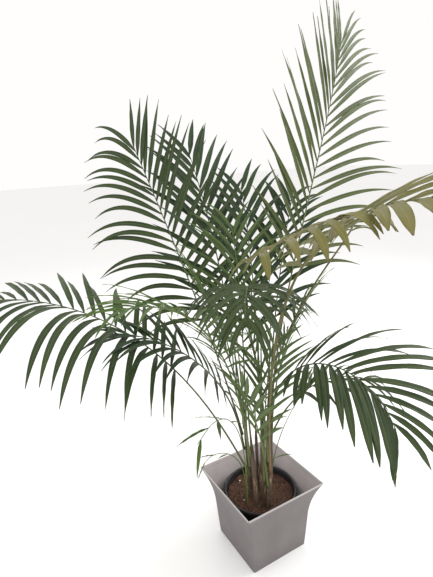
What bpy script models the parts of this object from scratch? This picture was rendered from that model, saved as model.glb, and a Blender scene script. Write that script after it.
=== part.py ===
"""Potted areca palm: a clump of canes and feather fronds growing from coir soil in a round nursery pot,
which stands inside a square planter with a flared rim. Metres, +Z up, the middle of the planter's foot
at the origin, the planter's sides along X and Y."""

import math

import bmesh
import bpy
import numpy as np
from mathutils import Vector
from mathutils.bvhtree import BVHTree

# ---------------------------------------------------------------- driving dimensions
GAP = 0.0004

# Planter: (half side, height) of the outer skin from the foot to the rim.
PLANTER_SKIN = (
    (0.1130, 0.000), (0.1175, 0.065), (0.1205, 0.115), (0.1245, 0.165),
    (0.1305, 0.197), (0.1375, 0.222), (0.1470, 0.248), (0.1590, 0.275),
)
PLANTER_WALL = 0.0042
PLANTER_FLOOR = 0.006
PLANTER_EDGE = 0.0011

# Nursery pot: a round thin-walled pot with a rolled lip.
POT_FOOT_R = 0.094
POT_TOP_R = 0.1235
POT_LIP_R = 0.1290
POT_TOP_Z = 0.2235
POT_LIP_DEEP = 0.0125
POT_WALL = 0.0022

SOIL_TOP_Z = 0.205
SOIL_DOME = 0.006
SOCKET_DEEP = 0.035
ROUND_STEPS = 32

# Canes: (foot x, foot y, lean heading, lean in degrees, girth radius, stem top z, spear tip z)
CANES = {
    "cane_a": (-0.038, 0.003, 110, 3.0, 0.0098, 0.50, 0.86),
    "cane_b": (-0.046, -0.043, 200, 4.5, 0.0092, 0.44, 0.74),
    "cane_c": (-0.012, -0.034, 250, 1.5, 0.0102, 0.53, 0.90),
    "cane_d": (-0.017, -0.076, 280, 3.5, 0.0090, 0.42, 0.62),
    "cane_e": (0.018, -0.018, 20, 3.0, 0.0088, 0.56, 0.96),
    "cane_f": (-0.028, -0.061, 235, 3.0, 0.0070, 0.40, 0.56),
    "cane_g": (0.000, 0.012, 70, 3.0, 0.0074, 0.42, 0.64),
}

# A side of a frond: leaflet length, opening from the midrib at the lowest and the last pair, lift out
# of the frond's plane at the lowest and the last pair, and how far the leaflets droop.
# Frond: cane, height on it, heading, rise and dip of the midrib in degrees, bend exponent, swing,
# length, bare share, pairs, leaflet width, roll and twist of the blade, (left side), (right side), seed.
FRONDS = {
    "frond_tall": ("cane_e", 0.50, -15, 89, 56, 0.78, 50, 1.32, 0.38, 23, 0.017, -72, 0,
                   (0.33, 48, 20, 2, 3, 0.22), (0.40, 66, 14, -4, 4, 0.50), 1),
    "frond_upright_left": ("cane_a", 0.45, 130, 77, 63, 0.85, -20, 1.05, 0.40, 19, 0.019, 66, 0,
                           (0.31, 68, 20, 4, 2, 1.00), (0.30, 64, 22, 0, 2, 0.28), 2),
    "frond_long_left": ("cane_b", 0.33, 142, 66, 0, 1.70, 16, 1.08, 0.42, 18, 0.021, 4, -8,
                        (0.33, 86, 42, 8, 4, 1.70), (0.22, 68, 46, 30, 12, 0.50), 36),
    "frond_low_right": ("cane_c", 0.46, -82, 80, -62, 1.75, -4, 0.73, 0.45, 15, 0.021, -12, 6,
                        (0.28, 72, 36, 14, 0, 0.75), (0.23, 50, 22, 8, -12, 1.00), 4),
    "frond_olive_thin": ("cane_e", 0.44, -49, 95, -14, 1.00, -123, 1.48, 0.64, 11, 0.014, -20, 0,
                         (0.10, 66, 55, 4, 4, 1.60), (0.08, 66, 55, 4, 4, 1.60), 17),
    "frond_olive": ("cane_d", 0.36, -130, 72, 3, 2.55, 35, 1.28, 0.68, 10, 0.022, -18, 0,
                    (0.16, 46, 24, 12, 4, 0.30), (0.14, 58, 24, 8, 4, 0.70), 5),
    "frond_front": ("cane_c", 0.50, -136, 87, -36, 2.30, 10, 0.86, 0.54, 15, 0.016, 0, 0,
                    (0.20, 76, 30, 6, 0, 1.60), (0.20, 76, 30, 6, 0, 1.60), 7),
    "frond_young_left": ("cane_b", 0.42, 206, 78, 0, 2.30, -12, 0.86, 0.44, 18, 0.012, 0, 0,
                         (0.20, 58, 24, 18, 8, 0.70), (0.20, 58, 24, 18, 8, 0.70), 6),
    "frond_mid_left": ("cane_a", 0.40, 184, 82, 2, 1.50, -40, 0.68, 0.36, 14, 0.019, 0, 0,
                       (0.24, 70, 28, 10, 4, 0.90), (0.22, 64, 28, 16, 8, 0.60), 8),
    "frond_back_left": ("cane_a", 0.47, 84, 82, 62, 1.20, 10, 0.98, 0.38, 14, 0.024, 6, 0,
                        (0.28, 54, 24, 4, 2, 0.30), (0.28, 50, 24, 4, 2, 0.35), 9),
    "frond_back": ("cane_c", 0.52, 62, 84, 58, 1.30, 8, 0.80, 0.36, 11, 0.021, 0, 0,
                   (0.24, 48, 24, 4, 2, 0.35), (0.26, 44, 24, 4, 2, 0.55), 10),
    "frond_back_right": ("cane_e", 0.53, 30, 84, 48, 1.30, 6, 0.76, 0.38, 10, 0.018, -14, 0,
                         (0.25, 50, 26, 6, 2, 0.45), (0.23, 52, 26, 6, 2, 0.65), 11),
    "frond_small_right": ("cane_c", 0.41, -24, 72, -36, 1.60, -12, 0.52, 0.42, 8, 0.015, 0, 0,
                          (0.19, 70, 30, 4, 0, 0.90), (0.19, 70, 30, 4, 0, 0.90), 12),
    "frond_inner": ("cane_d", 0.40, 176, 88, 74, 1.30, 12, 0.60, 0.40, 10, 0.012, 20, 0,
                    (0.22, 38, 18, 6, 4, 0.20), (0.22, 38, 18, 6, 4, 0.20), 14),
    "frond_inner_small": ("cane_d", 0.30, -160, 84, 62, 1.30, -10, 0.46, 0.42, 7, 0.019, 0, 0,
                          (0.19, 40, 20, 6, 4, 0.35), (0.19, 40, 20, 6, 4, 0.35), 16),
    "frond_inner_left": ("cane_b", 0.37, 150, 87, 64, 1.40, 20, 0.72, 0.40, 12, 0.013, 14, 0,
                         (0.22, 42, 20, 6, 4, 0.50), (0.22, 42, 20, 6, 4, 0.50), 21),
    "frond_inner_right": ("cane_e", 0.38, -62, 88, 60, 1.50, -10, 0.62, 0.40, 11, 0.014, -10, 0,
                          (0.20, 44, 22, 6, 4, 0.50), (0.20, 44, 22, 6, 4, 0.50), 22),
    "frond_inner_front": ("cane_f", 0.32, -110, 88, 70, 1.40, 10, 0.56, 0.38, 10, 0.013, 30, 0,
                          (0.19, 42, 20, 6, 4, 0.40), (0.19, 42, 20, 6, 4, 0.40), 23),
    "frond_inner_high": ("cane_a", 0.43, 240, 88, 62, 1.50, -14, 0.80, 0.42, 12, 0.013, 0, 0,
                         (0.22, 44, 22, 6, 4, 0.60), (0.22, 44, 22, 6, 4, 0.60), 30),
}
MIDRIB_STEPS = 36
PETIOLE_R = 0.0036
TIP_R = 0.0011
PETIOLE_POINTS = 13

# Leaflet outline: (place along it, share of its full width).
LONG_BLADE = ((0.0, 0.24), (0.30, 0.95), (0.68, 0.80), (1.0, 0.10))
SHORT_BLADE = ((0.0, 0.22), (0.42, 1.00), (1.0, 0.12))
LONG_FROM = 0.28
KEEL = 0.0012
CLEAR = 0.0010
# Ways a leaflet turns aside (degrees in the frond's plane, degrees out of it) to pass its neighbours.
TURNS = ((0, 0), (7, 0), (-7, 0), (0, 10), (0, -10), (14, 0), (-14, 0), (0, 20), (0, -20),
         (10, 14), (-10, 14), (10, -14), (-10, -14), (20, 20), (-20, -20), (0, 32), (0, -32))
SHORTER = (1.0, 0.78, 0.58, 0.40)

# Small leaves from the clump's foot: foot x, y, heading, rise, dip, bend exponent, length, where the
# first blade leaves, blade length, blade width, blades, spread.
BASAL = {
    "forked_leaf": (0.010, -0.054, -12, 94, 52, 1.1, 0.42, 0.90, 0.15, 0.026, 2, 9),
    "small_leaf_left": (-0.080, -0.036, 213, 90, -21, 2.2, 0.66, 0.66, 0.11, 0.011, 5, 30),
    "small_leaf_front": (-0.066, -0.004, 170, 91, -60, 2.6, 0.34, 0.70, 0.06, 0.006, 3, 24),
    "small_leaf_back": (0.040, 0.030, -10, 86, 10, 2.0, 0.13, 0.62, 0.06, 0.007, 2, 22),
}

COLOURS = {
    "planter": ((0.300, 0.268, 0.262), 0.62),
    "pot": ((0.020, 0.017, 0.017), 0.55),
    "soil": ((0.060, 0.032, 0.020), 0.95),
    "cane": ((0.105, 0.085, 0.045), 0.60),
    "leaf": ((0.045, 0.085, 0.030), 0.48),
    "olive": ((0.190, 0.190, 0.065), 0.50),
    "young": ((0.085, 0.150, 0.035), 0.48),
}


# ---------------------------------------------------------------- scene and helpers
def clear_scene():
    for obj in list(bpy.data.objects):
        bpy.data.objects.remove(obj, do_unlink=True)
    for group in list(bpy.data.collections):
        bpy.data.collections.remove(group)


def collection(name):
    group = bpy.data.collections.new(name)
    bpy.context.scene.collection.children.link(group)
    return group


def material(name, kind):
    made = bpy.data.materials.new(name)
    made.use_nodes = True
    shader = made.node_tree.nodes["Principled BSDF"]
    colour, rough = COLOURS[kind]
    shader.inputs["Base Color"].default_value = (*colour, 1.0)
    shader.inputs["Roughness"].default_value = rough
    made.diffuse_color = (*colour, 1.0)
    return made


def add(name, mesh, group, kind, smooth=True):
    obj = bpy.data.objects.new(name, mesh)
    group.objects.link(obj)
    mesh.materials.clear()
    mesh.materials.append(material(name, kind))
    for face in mesh.polygons:
        face.use_smooth = smooth
    return obj


def helper(name, mesh, group):
    obj = bpy.data.objects.new(name, mesh)
    group.objects.link(obj)
    obj.hide_render = True
    obj.display_type = "WIRE"
    return obj


def boolean(obj, other, operation):
    step = obj.modifiers.new(other.name, "BOOLEAN")
    step.object = other
    step.operation = operation
    step.solver = "EXACT"
    step.use_self = True


def tidy(mesh):
    """Joins the doubled points of a closed mesh and splits its bent quads, so that a Boolean reads it."""
    made = bmesh.new()
    made.from_mesh(mesh)
    bmesh.ops.remove_doubles(made, verts=made.verts, dist=1e-5)
    bmesh.ops.triangulate(made, faces=made.faces)
    bmesh.ops.recalc_face_normals(made, faces=made.faces)
    made.to_mesh(mesh)
    made.free()


def mesh_of(name, points, faces):
    mesh = bpy.data.meshes.new(name)
    mesh.from_pydata([tuple(map(float, p)) for p in points], [], faces)
    tidy(mesh)
    return mesh


def rod(name, points, radii, sides=2):
    """A tapering rod along the points, closed at both ends."""
    curve = bpy.data.curves.new(name, "CURVE")
    curve.dimensions = "3D"
    curve.bevel_depth = 1.0
    curve.bevel_resolution = sides
    curve.use_fill_caps = True
    spline = curve.splines.new("POLY")
    spline.points.add(len(points) - 1)
    for point, at, radius in zip(spline.points, points, radii):
        point.co = (*map(float, at), 1.0)
        point.radius = float(radius)
    holder = bpy.data.objects.new(name, curve)
    bpy.context.scene.collection.objects.link(holder)
    mesh = bpy.data.meshes.new_from_object(holder)
    bpy.data.objects.remove(holder, do_unlink=True)
    bpy.data.curves.remove(curve)
    tidy(mesh)
    return mesh


def tree_of(points, faces):
    return BVHTree.FromPolygons([tuple(map(float, p)) for p in points], faces)


def tree_of_mesh(mesh):
    return tree_of([v.co for v in mesh.vertices], [tuple(f.vertices) for f in mesh.polygons])


# ---------------------------------------------------------------- holder and soil
def planter(group):
    """The square shell: one skin up the four sides, thickened inwards, with a flat floor."""
    made = bmesh.new()
    rings = []
    for half, z in PLANTER_SKIN:
        corners = ((half, half), (-half, half), (-half, -half), (half, -half))
        rings.append([made.verts.new((x, y, z)) for x, y in corners])
    for low, high in zip(rings, rings[1:]):
        for i in range(4):
            made.faces.new((low[i], low[(i + 1) % 4], high[(i + 1) % 4], high[i]))
    made.faces.new(rings[0][::-1])
    bmesh.ops.recalc_face_normals(made, faces=made.faces)
    mesh = bpy.data.meshes.new("planter")
    made.to_mesh(mesh)
    made.free()
    obj = add("planter", mesh, group, "planter", smooth=False)
    shell = obj.modifiers.new("wall", "SOLIDIFY")
    shell.thickness = PLANTER_WALL
    shell.offset = -1.0
    shell.use_even_offset = True
    edge = obj.modifiers.new("edge", "BEVEL")
    edge.width = PLANTER_EDGE
    edge.segments = 1
    edge.limit_method = "ANGLE"
    edge.angle_limit = math.radians(50)
    return obj


def lathe(name, profile, group, kind, steps):
    """A solid of revolution about Z from a closed profile of (radius, height)."""
    points = [(r, 0.0, z) for r, z in profile]
    mesh = bpy.data.meshes.new(name)
    edges = [(i, i + 1) for i in range(len(points) - 1)]
    if profile[0][0] > 0.0:
        edges.append((len(points) - 1, 0))
    mesh.from_pydata(points, edges, [])
    obj = add(name, mesh, group, kind)
    turn = obj.modifiers.new("turn", "SCREW")
    turn.axis = "Z"
    turn.angle = math.tau
    turn.steps = steps
    turn.render_steps = steps
    turn.use_merge_vertices = True
    turn.merge_threshold = 0.00001
    turn.use_normal_calculate = True
    return obj


def pot_wall_radius(z):
    foot = PLANTER_FLOOR
    return POT_FOOT_R + (POT_TOP_R - POT_FOOT_R) * (z - foot) / (POT_TOP_Z - foot)


def nursery_pot(group):
    foot = PLANTER_WALL + GAP
    low = POT_TOP_Z - POT_LIP_DEEP
    profile = [
        (0.0, foot + POT_WALL),
        (POT_FOOT_R - POT_WALL, foot + POT_WALL),
        (POT_TOP_R - POT_WALL, POT_TOP_Z - 0.0015),
        (POT_TOP_R, POT_TOP_Z),
        (POT_LIP_R - 0.0015, POT_TOP_Z),
        (POT_LIP_R, POT_TOP_Z - 0.0020),
        (POT_LIP_R - 0.0012, low),
        (pot_wall_radius(low) + 0.0002, low),
        (POT_FOOT_R, foot + 0.0015),
        (POT_FOOT_R - 0.0015, foot),
        (0.0, foot),
    ]
    return lathe("nursery_pot", profile[::-1], group, "pot", ROUND_STEPS)


def soil(group, cutters, canes):
    """A domed plug of coir with a socket for each cane and each small leaf."""
    foot = PLANTER_WALL + GAP + POT_WALL + GAP
    inside = POT_WALL + GAP
    top_r = pot_wall_radius(SOIL_TOP_Z) - inside - 0.0004
    profile = [
        (0.0, foot),
        (POT_FOOT_R - inside - 0.0006, foot),
        (top_r, SOIL_TOP_Z - 0.004),
        (top_r - 0.004, SOIL_TOP_Z - 0.001),
        (top_r * 0.62, SOIL_TOP_Z + SOIL_DOME * 0.55),
        (top_r * 0.30, SOIL_TOP_Z + SOIL_DOME * 0.95),
        (0.0, SOIL_TOP_Z + SOIL_DOME),
    ]
    obj = lathe("soil", profile, group, "soil", ROUND_STEPS)
    for name, (points, radii) in canes.items():
        wide = [r + GAP for r in radii[:3]]
        down = points[0] - (points[1] - points[0]) * 0.02
        mesh = rod("socket_" + name, [down, *points[1:3]], wide, 2)
        boolean(obj, helper("socket_" + name, mesh, cutters), "DIFFERENCE")
    return obj


# ---------------------------------------------------------------- canes
def cane_line(name):
    """Axis points and radii from inside the soil up to the spear's tip."""
    x, y, heading, lean, girth, stem_top, tip = CANES[name]
    foot_z = SOIL_TOP_Z - SOCKET_DEEP
    heights = [foot_z, 0.225, 0.262, 0.30, 0.36, 0.42, stem_top, stem_top + 0.05]
    shares = [1.12, 1.06, 0.96, 0.90, 0.86, 0.80, 0.66, 0.40]
    heights += [stem_top + (tip - stem_top) * 0.55, tip]
    shares += [0.30, 0.08]
    rows = sorted(zip(heights, shares), key=lambda row: row[0])
    away = np.array([math.cos(math.radians(heading)), math.sin(math.radians(heading))])
    points, radii = [], []
    for z, share in rows:
        up = z - SOIL_TOP_Z
        shift = math.tan(math.radians(lean)) * up * (1 + 0.25 * up)
        points.append(np.array([x + away[0] * shift, y + away[1] * shift, z]))
        radii.append(girth * share)
    return points, radii


def on_cane(name, z):
    points, radii = cane_line(name)
    heights = [p[2] for p in points]
    at = np.array([np.interp(z, heights, [p[k] for p in points]) for k in range(3)])
    return at, float(np.interp(z, heights, radii))


# ---------------------------------------------------------------- fronds
def heading_vector(heading, rise):
    heading, rise = np.radians(heading), np.radians(rise)
    flat = np.cos(rise)
    return np.stack([flat * np.cos(heading), flat * np.sin(heading), np.sin(rise)], -1)


def midrib(base, heading, rise, dip, bend, swing, length):
    """Points, tangents, sideways and upward directions along a frond's midrib."""
    middle = (np.arange(MIDRIB_STEPS) + 0.5) / MIDRIB_STEPS
    steps = heading_vector(heading + swing * middle, rise + (dip - rise) * middle**bend)
    points = np.vstack([np.zeros(3), np.cumsum(steps * length / MIDRIB_STEPS, 0)]) + base
    place = np.arange(MIDRIB_STEPS + 1) / MIDRIB_STEPS
    along = heading_vector(heading + swing * place, rise + (dip - rise) * place**bend)
    turn = np.radians(heading + swing * place)
    right = np.stack([np.sin(turn), -np.cos(turn), 0 * turn], -1)
    return place, points, along, right


def pick(place, rows, s):
    return np.array([np.interp(s, place, rows[:, k]) for k in range(3)])


def unit(v):
    return v / np.linalg.norm(v)


def size_along(t):
    """Leaflet length from the lowest pair to the tip, as a share of the longest."""
    if t < 0.5:
        return 0.62 + 0.38 * min(1.0, t / 0.3) ** 0.8
    return 1.0 - 0.5 * ((t - 0.5) / 0.5) ** 1.7


def leaflet_line(root, along, side_dir, normal, opening, droop, length, stations):
    """Points, flat directions of a leaflet that leaves the midrib and droops towards its tip."""
    start = math.cos(opening) * along + math.sin(opening) * side_dir
    middle = (np.arange(stations) + 0.5) / stations
    steps = start[None, :] + droop * (middle[:, None] ** 1.6) * np.array([0.0, 0.0, -1.0])
    steps /= np.linalg.norm(steps, axis=1)[:, None]
    points = np.vstack([root, root + np.cumsum(steps * length / stations, 0)])
    tangents = np.vstack([steps[0], (steps[:-1] + steps[1:]) / 2, steps[-1]])
    across = np.cross(tangents, normal)
    across /= np.linalg.norm(across, axis=1)[:, None]
    return points, across, np.cross(across, tangents)


def blade(points, across, normals, outline, width, grow=0.0):
    """A leaflet as a closed keeled strip: two edges and a keel at each station."""
    places = np.linspace(0.0, 1.0, len(points))
    rows, faces = [], []
    for place, share in outline:
        at, side, up = (pick(places, rows_, place) for rows_ in (points, across, normals))
        half = width * share / 2 + grow
        deep = KEEL * (0.55 + 0.45 * share) + grow
        rows += [at + side * half + up * deep * 0.35, at - side * half + up * deep * 0.35]
        rows += [at - up * deep * 0.75]
    for i in range(len(outline) - 1):
        a, b = 3 * i, 3 * i + 3
        for j in range(3):
            k = (j + 1) % 3
            faces.append((a + j, b + j, b + k, a + k))
    last = 3 * (len(outline) - 1)
    faces += [(0, 1, 2), (last + 2, last + 1, last)]
    return rows, faces


def frond_base(row):
    cane, z, heading = row[:3]
    at, radius = on_cane(cane, z)
    out = radius + PETIOLE_R * 1.3 + GAP
    return at + out * heading_vector(heading, 0.0)


def frond_midrib(row):
    heading, rise, dip, bend, swing, length = row[2:8]
    return midrib(frond_base(row), heading, rise, dip, bend, swing, length)


def stem_line(row):
    """The few points that the rod of a petiole and midrib passes through."""
    place, points, along, sideways = frond_midrib(row)
    joints = np.linspace(0.0, 1.0, PETIOLE_POINTS) ** 0.9
    return joints, np.array([pick(place, points, s) for s in joints])


def petiole_radii(places):
    """The petiole narrows quickly from its clasping base, then slowly to the midrib's tip."""
    radii = []
    for s in places:
        swell = 0.45 * math.exp(-s / 0.05)
        radii.append(TIP_R + (PETIOLE_R - TIP_R) * (1 - s) ** 0.9 + PETIOLE_R * swell * 0.6)
    return radii


def frond_leaflets(row, obstacles):
    """The leaflets of one frond that pass clear of everything already standing."""
    bare, pairs, wide, roll, twist, left, right, seed = row[8:16]
    place, points, along, sideways = frond_midrib(row)
    joints, stem = stem_line(row)
    rng = np.random.default_rng(seed)
    made = []
    for i in range(pairs):
        for side, shape in ((1, right), (-1, left)):
            leaf, open0, open1, lift0, lift1, droop = shape
            t = (i + 0.5 + 0.22 * side) / pairs
            s = min(bare + (1 - bare) * t**0.95, 0.995)
            chance = rng.uniform(-1, 1, 4)
            root = pick(joints, stem, s)
            ahead = unit(pick(place, along, s))
            flat = unit(pick(place, sideways, s))
            up = np.cross(flat, ahead)
            turn = math.radians(roll + twist * t)
            across = math.cos(turn) * flat + math.sin(turn) * up
            face = math.cos(turn) * up - math.sin(turn) * flat
            length = leaf * size_along(t) * (1 + 0.08 * chance[2])
            width = wide * (0.75 + 0.25 * size_along(t))
            outline = LONG_BLADE if length > LONG_FROM else SHORT_BLADE
            found = None
            for short in SHORTER:
                for swing, tip_up in TURNS:
                    opening = math.radians(open0 + (open1 - open0) * t + 4.5 * chance[0] + swing)
                    lift = math.radians(lift0 + (lift1 - lift0) * t + 6 * chance[1] + tip_up)
                    side_dir = side * math.cos(lift) * across + math.sin(lift) * face
                    normal = unit(math.cos(lift) * face - side * math.sin(lift) * across)
                    line = leaflet_line(root, ahead, side_dir, normal, opening,
                                        droop * (1 + 0.25 * chance[3]), length * short, 8)
                    test = tree_of(*blade(*line, outline, width, CLEAR))
                    if not any(test.overlap(tree) for tree in obstacles):
                        found = (line, outline, width)
                        break
                if found:
                    break
            if found:
                made.append(found)
    return made


def frond(name, row, group, cutters, obstacles):
    """One frond: petiole and midrib in one rod, every leaflet joined to it."""
    joints, line = stem_line(row)
    kind = "olive" if "olive" in name else "young" if "young" in name or "inner" in name else "leaf"
    stem = rod(name, line, petiole_radii(joints), 0)
    obj = add(name, stem, group, kind)
    rows, faces = [], []
    for line, outline, width in frond_leaflets(row, obstacles):
        more, sides = blade(*line, outline, width)
        faces += [tuple(len(rows) + k for k in face) for face in sides]
        rows += more
    leaves = mesh_of("leaflets_" + name, rows, faces)
    boolean(obj, helper("leaflets_" + name, leaves, cutters), "UNION")
    obstacles += [tree_of_mesh(stem), tree_of(rows, faces)]
    return obj


def basal_midrib(row):
    x, y, heading, rise, dip, bend, length = row[:7]
    foot = np.array([x, y, SOIL_TOP_Z - 0.010])
    return midrib(foot, heading, rise, dip, bend, 0, length)


def basal_leaf(name, row, group, cutters, obstacles):
    """A small leaf rising from the soil: a thin stalk that ends in a few narrow blades."""
    first, blade_length, width, blades, spread = row[7:]
    place, points, along, sideways = basal_midrib(row)
    joints = np.linspace(0.0, 1.0, 9)
    line = np.array([pick(place, points, s) for s in joints])
    stem = rod(name, line, np.linspace(0.0024, 0.0011, 9), 0)
    obj = add(name, stem, group, "young")
    rows, faces = [], []
    for i in range(blades):
        share = i / max(1, blades - 1)
        side = 1 if i % 2 else -1
        s = first + (0.97 - first) * share
        ahead = unit(pick(place, along, s))
        flat = unit(pick(place, sideways, s))
        up = np.cross(flat, ahead)
        root = pick(joints, line, s)
        opening = math.radians(spread * (1.3 - 0.6 * share))
        shape = leaflet_line(root, ahead, side * flat, up, opening, 0.35, blade_length, 8)
        more, sides = blade(*shape, SHORT_BLADE, width)
        faces += [tuple(len(rows) + k for k in face) for face in sides]
        rows += more
    leaves = mesh_of("leaflets_" + name, rows, faces)
    boolean(obj, helper("leaflets_" + name, leaves, cutters), "UNION")
    obstacles += [tree_of_mesh(stem), tree_of(rows, faces)]
    return obj


def basal_socket(row):
    place, points, along, sideways = basal_midrib(row)
    line = [pick(place, points, s) for s in np.linspace(0.0, 1.0, 9)[:3]]
    return line, [0.0026, 0.0024, 0.0022]


def build():
    clear_scene()
    group = collection("potted_palm")
    cutters = collection("cutters")
    sockets = {name: cane_line(name) for name in CANES}
    sockets.update({name: basal_socket(row) for name, row in BASAL.items()})
    planter(group)
    nursery_pot(group)
    soil(group, cutters, sockets)
    obstacles = []
    for name in CANES:
        points, radii = cane_line(name)
        mesh = rod(name, points, radii, 2)
        add(name, mesh, group, "cane")
        obstacles.append(tree_of_mesh(mesh))
    for name, row in BASAL.items():
        basal_leaf(name, row, group, cutters, obstacles)
    for name, row in FRONDS.items():
        frond(name, row, group, cutters, obstacles)


build()
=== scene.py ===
"""Potted areca palm: the finished plant and its pots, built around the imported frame."""

import math

import bmesh
import bpy
import numpy as np
from mathutils import Matrix, Vector, noise
from mathutils.bvhtree import BVHTree


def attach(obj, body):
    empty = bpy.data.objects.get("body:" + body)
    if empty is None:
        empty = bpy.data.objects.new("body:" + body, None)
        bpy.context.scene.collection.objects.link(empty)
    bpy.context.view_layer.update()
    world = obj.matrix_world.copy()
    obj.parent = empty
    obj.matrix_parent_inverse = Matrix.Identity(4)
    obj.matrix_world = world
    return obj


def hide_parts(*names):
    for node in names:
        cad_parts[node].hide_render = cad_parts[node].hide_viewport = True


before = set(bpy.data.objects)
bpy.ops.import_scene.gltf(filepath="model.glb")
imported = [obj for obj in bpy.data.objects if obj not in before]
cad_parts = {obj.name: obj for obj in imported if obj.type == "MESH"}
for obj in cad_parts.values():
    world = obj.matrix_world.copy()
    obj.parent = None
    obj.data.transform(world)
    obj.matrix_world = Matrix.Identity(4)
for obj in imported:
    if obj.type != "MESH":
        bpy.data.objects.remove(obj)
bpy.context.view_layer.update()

bl_info = {
    "name": "Potted palm",
    "version": (1, 0, 0),
    "blender": (4, 5, 0),
    "location": "View3D > Sidebar > Palm",
    "description": "Builds a potted areca palm in a square planter",
    "category": "Add Mesh",
}

BODY = "root"

# ---------------------------------------------------------------- sizes that repeat the CAD, in metres
GAP = 0.0004
PLANTER_SKIN = (
    (0.1130, 0.000), (0.1175, 0.065), (0.1205, 0.115), (0.1245, 0.165),
    (0.1305, 0.197), (0.1375, 0.222), (0.1470, 0.248), (0.1590, 0.275),
)
PLANTER_WALL = 0.0042
PLANTER_FLOOR = 0.006
POT_FOOT_R = 0.094
POT_TOP_R = 0.1235
POT_LIP_R = 0.1290
POT_TOP_Z = 0.2235
POT_WALL = 0.0022
SOIL_TOP_Z = 0.205
SOIL_DOME = 0.006
SOCKET_DEEP = 0.035
CANES = {
    "cane_a": (-0.038, 0.003, 110, 3.0, 0.0098, 0.50, 0.86),
    "cane_b": (-0.046, -0.043, 200, 4.5, 0.0092, 0.44, 0.74),
    "cane_c": (-0.012, -0.034, 250, 1.5, 0.0102, 0.53, 0.90),
    "cane_d": (-0.017, -0.076, 280, 3.5, 0.0090, 0.42, 0.62),
    "cane_e": (0.018, -0.018, 20, 3.0, 0.0088, 0.56, 0.96),
    "cane_f": (-0.028, -0.061, 235, 3.0, 0.0070, 0.40, 0.56),
    "cane_g": (0.000, 0.012, 70, 3.0, 0.0074, 0.42, 0.64),
}

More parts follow.
